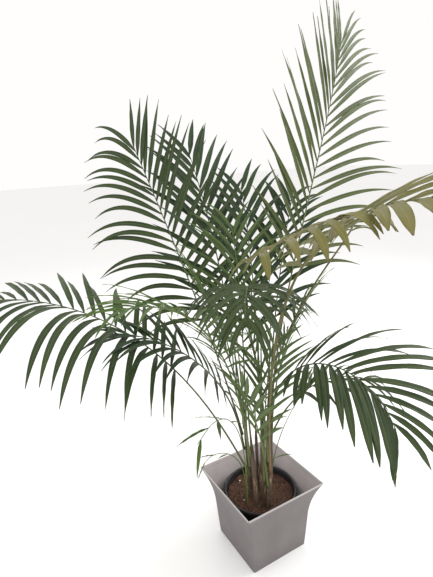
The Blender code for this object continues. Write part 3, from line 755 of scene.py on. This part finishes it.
# ---------------------------------------------------------------- pieces
def build_planter(settings):
    """The flared square shell: the foot's edges drawn upwards ring by ring, corners rounded."""
    made = bmesh.new()
    lip = made.verts.layers.float.new("lip")
    heights = [z for half, z in PLANTER_SKIN]
    halves = [half for half, z in PLANTER_SKIN]
    top = heights[-1]
    rows = [0.0, 0.012] + list(np.linspace(0.04, top - 0.0016, 26)) + [top]
    bmesh.ops.create_grid(made, x_segments=1, y_segments=1, size=halves[0])
    edges = list(made.edges)
    flare = smooth_line([(h, 0.0, z) for h, z in PLANTER_SKIN], 120)
    for z in rows[1:]:
        half = float(np.interp(z, flare[:, 2], flare[:, 0]))
        grown = bmesh.ops.extrude_edge_only(made, edges=edges)["geom"]
        verts = [g for g in grown if isinstance(g, bmesh.types.BMVert)]
        edges = [g for g in grown if isinstance(g, bmesh.types.BMEdge) and all(v in verts for v in g.verts)]
        for vert in verts:
            vert.co = Vector((math.copysign(half, vert.co.x), math.copysign(half, vert.co.y), z))
            # The top ring is marked here to carry the painted highlight of the rim.
            vert[lip] = 1.0 if z == top else 0.0
    corners = [e for e in made.edges if abs(e.verts[0].co.z - e.verts[1].co.z) > 1e-5]
    foot = [e for e in made.edges if e.verts[0].co.z < 1e-6 and e.verts[1].co.z < 1e-6]
    bmesh.ops.bevel(made, geom=corners, offset=settings.corner, offset_type="OFFSET", segments=3,
                    affect="EDGES", profile=0.5, material=-1)
    bmesh.ops.recalc_face_normals(made, faces=made.faces)
    finish = planter_finish("planter_outside", settings, False)
    # The inner walls take the brightened copy of the plastic, which is painted light.
    inside = planter_finish("planter_inside_painted_light", settings, True)
    piece = place_piece(made, "planter_shell", [finish, inside], ["planter"])
    thicken(piece, PLANTER_WALL, 1, 0).use_even_offset = True
    edge = piece.modifiers.new("soft_edges", "BEVEL")
    edge.width, edge.segments = 0.0009, 2
    edge.limit_method, edge.angle_limit = "ANGLE", math.radians(50)
    piece.modifiers.new("flat_sides", "WEIGHTED_NORMAL").keep_sharp = True
    return piece


def spin_profile(made, profile, steps):
    """Turns a profile of (radius, height) fully about the upright axis and closes its poles."""
    verts = [made.verts.new((r, 0.0, z)) for r, z in profile]
    edges = [made.edges.new(pair) for pair in zip(verts, verts[1:])]
    bmesh.ops.spin(made, geom=verts + edges, cent=(0, 0, 0), axis=(0, 0, 1), dvec=(0, 0, 0),
                   angle=math.tau, steps=steps, use_merge=True, use_duplicate=False)
    bmesh.ops.remove_doubles(made, verts=made.verts, dist=1e-5)
    bmesh.ops.recalc_face_normals(made, faces=made.faces)


def pot_wall_radius(z):
    return POT_FOOT_R + (POT_TOP_R - POT_FOOT_R) * (z - PLANTER_FLOOR) / (POT_TOP_Z - PLANTER_FLOOR)


def build_nursery_pot(settings):
    """Round grower's pot: thin wall, rolled lip and a shallow grip band below it."""
    foot = PLANTER_WALL + GAP
    top, lip = POT_TOP_Z, POT_LIP_R
    profile = [
        (0.0, foot), (POT_FOOT_R - 0.002, foot), (POT_FOOT_R, foot + 0.002),
        (pot_wall_radius(0.1), 0.1), (pot_wall_radius(top - 0.0125), top - 0.0125),
        (lip - 0.0016, top - 0.0122), (lip - 0.0010, top - 0.0095), (lip - 0.0006, top - 0.0050),
        (lip - 0.0001, top - 0.0028), (lip - 0.0005, top - 0.0010), (lip - 0.0016, top - 0.0001),
        (POT_TOP_R + 0.0016, top), (POT_TOP_R + 0.0002, top - 0.0008), (POT_TOP_R - 0.0010, top - 0.0022),
        (POT_TOP_R - 0.0021, top - 0.0060),
        (pot_wall_radius(SOIL_TOP_Z) - 0.0022, SOIL_TOP_Z - 0.002),
        (POT_FOOT_R - 0.0024, foot + POT_WALL), (0.0, foot + POT_WALL),
    ]
    made = bmesh.new()
    spin_profile(made, profile, 112)
    return place_piece(made, "growers_pot", [pot_finish("growers_pot_black")],
                       ["nursery_pot"])


def soil_height(x, y):
    """How high the crumbly surface stands above its smooth dome."""
    rough = noise.noise(Vector((x * 55, y * 55, 0.3))) * 0.0040
    return rough + noise.noise(Vector((x * 170, y * 170, 2.1))) * 0.0018


def build_soil(settings):
    """Crumbly domed coir with loose fibres, pale specks and a chip or two."""
    foot = PLANTER_WALL + GAP + POT_WALL + GAP
    inside = POT_WALL + GAP
    top_r = pot_wall_radius(SOIL_TOP_Z) - inside - 0.0008
    dome = [(top_r * (1 - s), SOIL_TOP_Z - 0.003 + (SOIL_DOME + 0.001) * math.sin(s * math.pi / 2))
            for s in np.linspace(0.0, 1.0, 44)]
    profile = [(0.0, foot), (POT_FOOT_R - inside - 0.001, foot), (top_r - 0.001, SOIL_TOP_Z - 0.010)]
    made = bmesh.new()
    spin_profile(made, profile + dome, 150)
    for vert in made.verts:
        if vert.co.z > SOIL_TOP_Z - 0.0035:
            vert.co.z += soil_height(vert.co.x, vert.co.y) - 0.0012
    place_piece(made, "coir_bed", [soil_finish("coir")], ["soil"])

    def ground(x, y):
        share = 1 - min(1.0, math.hypot(x, y) / top_r)
        return SOIL_TOP_Z - 0.004 + SOIL_DOME * math.sin(share * math.pi / 2) + soil_height(x, y)

    rng = np.random.default_rng(41)
    strands = bmesh.new()
    for _ in range(settings.fibres):
        far, round_ = top_r * 0.93 * math.sqrt(rng.uniform()), rng.uniform(0, math.tau)
        x, y = far * math.cos(round_), far * math.sin(round_)
        heading, length, bend = rng.uniform(0, math.tau), rng.uniform(0.010, 0.030), rng.uniform(-1.2, 1.2)
        line = []
        for k in range(5):
            line.append((x, y, ground(x, y) + 0.0010 + 0.0022 * math.sin(k / 4 * math.pi) * rng.uniform()))
            heading += bend / 4
            x, y = x + math.cos(heading) * length / 4, y + math.sin(heading) * length / 4
            held = min(1.0, top_r * 0.96 / math.hypot(x, y))
            x, y = x * held, y * held
        add_tube(strands, line, [0.00042, 0.00055, 0.0005, 0.0004, 0.0002], 3)
    fibre = plain_finish("fibre_strands", (0.060, 0.032, 0.018), (0.180, 0.110, 0.065), 60.0, 0.85)
    place_piece(strands, "coir_fibres", [fibre])
    crumbs = bmesh.new()
    for _ in range(settings.crumbs):
        far, round_ = top_r * 0.94 * math.sqrt(rng.uniform()), rng.uniform(0, math.tau)
        x, y = far * math.cos(round_), far * math.sin(round_)
        made_ = bmesh.ops.create_icosphere(crumbs, subdivisions=1, radius=rng.uniform(0.0014, 0.0042))["verts"]
        for vert in made_:
            vert.co *= rng.uniform(0.7, 1.2)
        bmesh.ops.scale(crumbs, verts=made_, vec=(1.0, rng.uniform(0.5, 0.9), rng.uniform(0.5, 0.8)))
        bmesh.ops.rotate(crumbs, verts=made_, cent=(0, 0, 0), matrix=Matrix.Rotation(rng.uniform(0, 6), 3, "Z"))
        bmesh.ops.translate(crumbs, verts=made_, vec=(x, y, ground(x, y) + 0.0004))
    crumb = plain_finish("coir_crumbs", (0.022, 0.012, 0.008), (0.095, 0.050, 0.032), 120.0, 0.9)
    place_piece(crumbs, "coir_lumps", [crumb], smooth=False)
    specks = bmesh.new()
    for k in range(settings.specks):
        far, round_ = top_r * 0.9 * math.sqrt(rng.uniform()), rng.uniform(0, math.tau)
        x, y = far * math.cos(round_), far * math.sin(round_)
        size = 0.0042 if k < 3 else rng.uniform(0.0009, 0.0019)
        made_ = bmesh.ops.create_icosphere(specks, subdivisions=1, radius=size)["verts"]
        bmesh.ops.scale(specks, verts=made_, vec=(1.0, rng.uniform(0.5, 0.9), 0.35 if k < 3 else 0.7))
        bmesh.ops.rotate(specks, verts=made_, cent=(0, 0, 0), matrix=Matrix.Rotation(rng.uniform(0, 6), 3, "Z"))
        bmesh.ops.translate(specks, verts=made_, vec=(x, y, ground(x, y) + 0.0012))
    pale = plain_finish("pale_grit", (0.42, 0.37, 0.31), (0.72, 0.68, 0.62), 90.0, 0.8)
    place_piece(specks, "pale_specks", [pale], smooth=False)


def add_sheath_scrap(made, name, z, turn, size, width, stand, rng):
    """A dry papery scrap that wraps part of a cane and stands a little away at its tip."""
    rows = []
    for k in range(6):
        s = k / 5
        at, radius = on_cane(name, z + size * s)
        out = heading_vector(turn + 10 * s, 0.0)
        rows.append((at + out * (radius + 0.0006 + stand * s * s), out))
    points = np.array([r[0] for r in rows])
    normals = np.array([r[1] for r in rows])
    along = np.gradient(points, axis=0)
    sides = np.cross(along, normals)
    sides /= np.linalg.norm(sides, axis=1)[:, None]
    add_blade(made, (points, sides, normals), lambda v: width * (1 - v**2.2 * 0.9), lambda v: -0.75 + 0.4 * v,
              rng.uniform(-0.5, 0.5), rng.uniform(), 4, 8)


def build_canes(settings):
    """Ringed canes with swollen joints, dry sheath scraps at the foot and a closed spear on top."""
    brown = cane_finish("cane_bark", 0.48)
    dry = plain_finish("dry_sheath", (0.105, 0.068, 0.040), (0.300, 0.215, 0.130), 45.0, 0.8)
    rng = np.random.default_rng(9)
    for name in CANES:
        points, radii = cane_line(name)
        heights = [p[2] for p in points]
        low, high = heights[0], heights[-1]
        joints = []
        z = SOIL_TOP_Z + rng.uniform(0.008, 0.02)
        while z < 0.44:
            joints.append(z)
            z += rng.uniform(0.020, 0.042)
        levels = sorted(set(list(np.linspace(low, high, 60)) + [j + d for j in joints
                                                                for d in (-0.0022, -0.0008, 0.0008, 0.0024)]))
        line, sizes, rings = [], [], []
        for z in levels:
            at, radius = on_cane(name, z)
            near = min(abs(z - j) for j in joints)
            ring = max(0.0, 1.0 - near / 0.0020)
            line.append(at)
            sizes.append(radius * (0.90 + 0.10 * math.exp(-(near / 0.004) ** 2)))
            rings.append(ring)
        made = bmesh.new()
        add_tube(made, line, sizes, 18, rings, rng.uniform())
        place_piece(made, name + "_stem", [brown], [name])
        scraps = bmesh.new()
        for k in range(4):
            size = rng.uniform(0.035, 0.085)
            add_sheath_scrap(scraps, name, SOIL_TOP_Z + rng.uniform(0.004, 0.10), rng.uniform(0, 360), size,
                             rng.uniform(0.010, 0.016), rng.uniform(0.001, 0.006), rng)
        thicken(place_piece(scraps, name + "_dry_sheaths", [dry]), 0.0004)


def build_frond(name, row, obstacles, finishes):
    """One frond: a round tapering petiole and midrib, and its folded leaflets."""
    joints, line = stem_line(row)
    radii = petiole_radii(joints)
    fine = np.linspace(0.0, 1.0, 49)
    round_line = smooth_line(line, 49)
    steps = np.concatenate([[0.0], np.cumsum(np.linalg.norm(np.diff(line, axis=0), axis=1))])
    sizes = [float(np.interp(s, steps / steps[-1], radii)) * 0.93 for s in fine]
    if name == "frond_olive":
        sizes = [size * (1.0 + 0.9 * math.exp(-((s - 0.52) / 0.15) ** 2)) for s, size in zip(fine, sizes)]
    stem, upper, under = finishes
    made = bmesh.new()
    add_tube(made, round_line, sizes, 10)
    place_piece(made, name + "_stalk", [stem], [name])
    blunt = BLUNT.get(name, 0.0)
    leaflets = frond_leaflets(row, obstacles)
    rng = np.random.default_rng(100 + row[15])
    made = bmesh.new()
    rows, faces = [], []
    for shape, outline, width in leaflets:
        wobble = rng.uniform(-0.30, 0.30)
        add_blade(made, shape, leaflet_width(width, blunt * rng.uniform(0.4, 1.2)),
                  lambda v: 0.62 - 0.42 * v, wobble, rng.uniform(), curl=0.16)
        more, sides = blade(*shape, outline, width)
        faces += [tuple(len(rows) + k for k in face) for face in sides]
        rows += more
    piece = place_piece(made, name + "_leaflets", [upper, under], [name])
    thicken(piece, 0.0006, 1, 0)
    obstacles += [tree_of_mesh(rod(name, line, radii, 0)), tree_of(rows, faces)]


def build_small_leaf(name, row, obstacles, finishes):
    """A small leaf from the foot of the clump: thin stalk and a few narrow blades."""
    first, blade_length, width, blades, spread = row[7:]
    place, points, along, sideways = basal_midrib(row)
    joints = np.linspace(0.0, 1.0, 9)
    line = np.array([pick(place, points, s) for s in joints])
    radii = np.linspace(0.0024, 0.0011, 9)
    stem, upper, under = finishes
    made = bmesh.new()
    add_tube(made, smooth_line(line, 33), np.linspace(0.0023, 0.0010, 33), 8)
    place_piece(made, name + "_stalk", [stem], [name])
    made = bmesh.new()
    rows, faces = [], []
    rng = np.random.default_rng(len(name))
    for i in range(blades):
        share = i / max(1, blades - 1)
        side = 1 if i % 2 else -1
        s = first + (0.97 - first) * share
        ahead = unit(pick(place, along, s))
        flat = unit(pick(place, sideways, s))
        up = np.cross(flat, ahead)
        root = pick(joints, line, s)
        opening = math.radians(spread * (1.3 - 0.6 * share))
        shape = leaflet_line(root, ahead, side * flat, up, opening, 0.35, blade_length, 8)
        more, sides = blade(*shape, SHORT_BLADE, width)
        add_blade(made, shape, leaflet_width(width, 0.1), lambda v: 0.5 - 0.3 * v, rng.uniform(-0.2, 0.2),
                  rng.uniform(), curl=0.1)
        faces += [tuple(len(rows) + k for k in face) for face in sides]
        rows += more
    piece = place_piece(made, name + "_blades", [upper, under], [name])
    thicken(piece, 0.0005, 1, 0)
    obstacles += [tree_of_mesh(rod(name, line, radii, 0)), tree_of(rows, faces)]


def finishes_for(kind, tone):
    edge = (0.19, 0.095, 0.035) if kind == "olive" else (0.105, 0.095, 0.040)
    dim = tuple(tuple(v * 0.62 for v in colour) for colour in tone) if kind == "olive" else tone
    return (stalk_finish(kind + "_stalk", dim, edge, 0.5 if kind == "olive" else 0.45),
            leaf_finish(kind + "_leaf_upper", tone, False), leaf_finish(kind + "_leaf_under", tone, True))


def build_foliage(settings):
    """Every leaf in order, so that each one turns aside for those already standing."""
    kinds = {"deep": DEEP, "shaded_green": SHADED_GREEN, "light": LIT_GREEN, "fresh": FRESH, "olive": OLIVE}
    finishes = {tone: finishes_for(kind, tone) for kind, tone in kinds.items()}
    obstacles = []
    for name in CANES:
        points, radii = cane_line(name)
        obstacles.append(tree_of_mesh(rod(name, points, radii, 2)))
    for name, row in BASAL.items():
        build_small_leaf(name, row, obstacles, finishes[FRESH])
    for name, row in FRONDS.items():
        build_frond(name, row, obstacles, finishes[TONES[name]])


def build_stage(settings):
    """A pale floor, soft lights and the camera above and in front of the plant."""
    floor_mesh = bmesh.new()
    bmesh.ops.create_grid(floor_mesh, x_segments=1, y_segments=1, size=30.0)
    mesh = bpy.data.meshes.new("floor")
    floor_mesh.to_mesh(mesh)
    floor_mesh.free()
    floor = bpy.data.objects.new("floor", mesh)
    bpy.context.scene.collection.objects.link(floor)
    finish = Finish("pale_floor")
    finish.feed("Base Color", finish.mix(finish.noise(0.6, 2.0), (0.90, 0.895, 0.885), (0.93, 0.925, 0.92)))
    finish.feed("Roughness", 0.9)
    finish.feed("Specular IOR Level", 0.1)
    mesh.materials.append(finish.material)
    world = bpy.context.scene.world or bpy.data.worlds.new("studio")
    bpy.context.scene.world = world
    world.use_nodes = True
    world.node_tree.nodes["Background"].inputs[0].default_value = (*settings.surround, 1.0)
    world.node_tree.nodes["Background"].inputs[1].default_value = settings.surround_strength
    bpy.context.scene.view_settings.view_transform = "Standard"
    lamps = (("key", (-0.6, -2.6, 3.2), settings.key, 1.8), ("fill", (2.8, -0.6, 2.4), settings.fill, 2.2),
             ("left", (-3.0, 0.6, 2.6), settings.side, 2.2), ("rear", (0.8, 3.0, 3.2), settings.rear, 2.0))
    for name, place, power, size in lamps:
        lamp = bpy.data.lights.new(name, "AREA")
        lamp.energy, lamp.size = power, size
        holder = bpy.data.objects.new(name, lamp)
        bpy.context.scene.collection.objects.link(holder)
        holder.location = place
        aim = Vector((0.0, 0.0, 0.8)) - Vector(place)
        holder.rotation_euler = aim.to_track_quat("-Z", "Y").to_euler()
    lens = bpy.data.cameras.new("camera")
    lens.lens = settings.lens
    camera = bpy.data.objects.new("camera", lens)
    bpy.context.scene.collection.objects.link(camera)
    pitch, turn = math.radians(settings.pitch), math.radians(settings.heading)
    ahead = Vector((math.cos(pitch) * math.cos(turn), math.cos(pitch) * math.sin(turn), math.sin(pitch)))
    right = ahead.cross(Vector((0, 0, 1))).normalized()
    up = right.cross(ahead)
    roll = math.radians(settings.roll)
    across = math.cos(roll) * right + math.sin(roll) * up
    over = math.cos(roll) * up - math.sin(roll) * right
    camera.matrix_world = Matrix.Translation(settings.place) @ Matrix(
        (across, over, -ahead)).transposed().to_4x4()
    bpy.context.scene.camera = camera


# ---------------------------------------------------------------- sizes and colours a user would change
class PlanterSettings(bpy.types.PropertyGroup):
    """Sizes and colours of the square planter."""

    corner: bpy.props.FloatProperty(name="Corner radius", description="Rounding of the four corners",
                                    default=0.0045, min=0.001, max=0.01, unit="LENGTH")
    colour: bpy.props.FloatVectorProperty(name="Colour", description="Plastic in full light",
                                          default=(0.200, 0.181, 0.181), subtype="COLOR")
    shade: bpy.props.FloatVectorProperty(name="Shade", description="Dusty parts of the plastic",
                                         default=(0.158, 0.143, 0.143), subtype="COLOR")
    # The rim colour is a painted highlight along the planter's top edge.
    lip: bpy.props.FloatVectorProperty(name="Rim colour", description="Pale rim, a painted highlight",
                                       default=(0.46, 0.435, 0.425), subtype="COLOR")


class SoilSettings(bpy.types.PropertyGroup):
    """Loose things that lie on the soil."""

    fibres: bpy.props.IntProperty(name="Fibres", description="Loose coir strands", default=260, min=0)
    crumbs: bpy.props.IntProperty(name="Lumps", description="Loose coir lumps", default=420, min=0)
    specks: bpy.props.IntProperty(name="Specks", description="Pale grit", default=30, min=0)


class StageSettings(bpy.types.PropertyGroup):
    """Camera and light."""

    place: bpy.props.FloatVectorProperty(name="Camera place", description="Where the camera stands",
                                         default=(-0.774, -1.113, 1.383), unit="LENGTH")
    heading: bpy.props.FloatProperty(name="Heading", description="Compass angle that the camera looks along",
                                     default=60.3)
    pitch: bpy.props.FloatProperty(name="Pitch", description="Upward tilt in degrees", default=-16.5)
    roll: bpy.props.FloatProperty(name="Roll", description="Sideways tilt in degrees", default=-3.0)
    lens: bpy.props.FloatProperty(name="Lens", description="Focal length in millimetres", default=27.9)
    surround: bpy.props.FloatVectorProperty(name="Surround", description="Colour of the studio's walls",
                                            default=(1.0, 0.99, 0.98), subtype="COLOR")
    surround_strength: bpy.props.FloatProperty(name="Surround strength", description="Soft light all round",
                                               default=1.0)
    key: bpy.props.FloatProperty(name="Key", description="Front light", default=34.0, unit="POWER")
    fill: bpy.props.FloatProperty(name="Fill", description="Right-hand light", default=62.0, unit="POWER")
    side: bpy.props.FloatProperty(name="Side", description="Left-hand light", default=14.0, unit="POWER")
    rear: bpy.props.FloatProperty(name="Rear", description="Light from behind", default=20.0, unit="POWER")


class PALM_OT_planter(bpy.types.Operator):
    """Build the square planter"""

    bl_idname = "palm.planter"
    bl_label = "Planter"

    def execute(self, context):
        build_planter(context.scene.palm_planter)
        return {"FINISHED"}


class PALM_OT_growers_pot(bpy.types.Operator):
    """Build the round inner pot"""

    bl_idname = "palm.growers_pot"
    bl_label = "Inner pot"

    def execute(self, context):
        build_nursery_pot(context.scene.palm_planter)
        return {"FINISHED"}


class PALM_OT_soil(bpy.types.Operator):
    """Build the coir, its fibres and its grit"""

    bl_idname = "palm.soil"
    bl_label = "Soil"

    def execute(self, context):
        build_soil(context.scene.palm_soil)
        return {"FINISHED"}


class PALM_OT_canes(bpy.types.Operator):
    """Build the ringed canes and their dry sheaths"""

    bl_idname = "palm.canes"
    bl_label = "Canes"

    def execute(self, context):
        build_canes(context.scene.palm_planter)
        return {"FINISHED"}


class PALM_OT_foliage(bpy.types.Operator):
    """Build every small leaf and frond"""

    bl_idname = "palm.foliage"
    bl_label = "Fronds"

    def execute(self, context):
        build_foliage(context.scene.palm_planter)
        return {"FINISHED"}


class PALM_OT_stage(bpy.types.Operator):
    """Set the floor, the lights and the camera"""

    bl_idname = "palm.stage"
    bl_label = "Stage"

    def execute(self, context):
        build_stage(context.scene.palm_stage)
        return {"FINISHED"}


OPERATORS = (PALM_OT_planter, PALM_OT_growers_pot, PALM_OT_soil, PALM_OT_canes, PALM_OT_foliage,
             PALM_OT_stage)


class PALM_PT_panel(bpy.types.Panel):
    """Lists the pieces of the palm"""

    bl_idname = "PALM_PT_panel"
    bl_label = "Potted palm"
    bl_space_type = "VIEW_3D"
    bl_region_type = "UI"
    bl_category = "Palm"

    def draw(self, context):
        for operator in OPERATORS:
            self.layout.operator(operator.bl_idname)
        for group in (context.scene.palm_planter, context.scene.palm_soil, context.scene.palm_stage):
            for field in group.__annotations__:
                self.layout.prop(group, field)


GROUPS = {"palm_planter": PlanterSettings, "palm_soil": SoilSettings, "palm_stage": StageSettings}


def register():
    for one in (*GROUPS.values(), *OPERATORS, PALM_PT_panel):
        bpy.utils.register_class(one)
    for name, group in GROUPS.items():
        setattr(bpy.types.Scene, name, bpy.props.PointerProperty(type=group))


def unregister():
    for name in GROUPS:
        delattr(bpy.types.Scene, name)
    for one in reversed((*GROUPS.values(), *OPERATORS, PALM_PT_panel)):
        bpy.utils.unregister_class(one)


def main():
    register()
    bpy.ops.palm.planter()
    bpy.ops.palm.growers_pot()
    bpy.ops.palm.soil()
    bpy.ops.palm.canes()
    bpy.ops.palm.foliage()
    bpy.ops.palm.stage()


if __name__ == "__main__":
    main()
